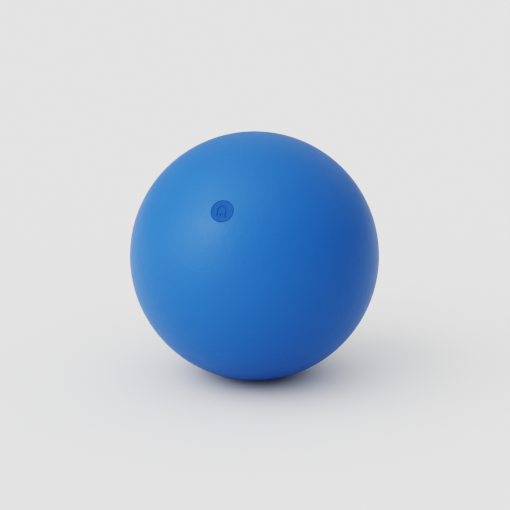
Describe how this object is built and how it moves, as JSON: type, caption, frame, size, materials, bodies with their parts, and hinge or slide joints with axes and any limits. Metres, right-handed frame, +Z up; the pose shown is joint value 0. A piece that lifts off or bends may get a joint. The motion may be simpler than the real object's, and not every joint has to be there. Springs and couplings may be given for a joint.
{
  "type": "croquet ball",
  "caption": "Smooth croquet ball: a seamless moulded jacket over a cast core, closed by a flush press-in filler plug.",
  "frame": {"origin": "centre of the ball", "axes": "+Z up, with the ball lying on the ground at Z = -0.046; the plug faces the front, -Y, and points 34 degrees up from the ground"},
  "size_m": [0.092, 0.092, 0.092],
  "materials": {
    "jacket": "satin",
    "core": "matte",
    "neck_bush": "satin",
    "plug_stem": "satin",
    "plug_seal": "matte",
    "plug_cap": "matte"
  },
  "bodies": {
    "ball": {"jacket": "jacket", "core": "core", "neck_bush": "neck_bush"},
    "plug": {"plug_stem": "plug_stem", "plug_seal": "plug_seal", "plug_cap": "plug_cap"}
  },
  "joints": [
    {"name": "plug_pull", "type": "slide", "parent": "ball", "child": "plug", "axis": [0, -0.829, 0.5592], "range_m": [0, 0.024]}
  ]
}
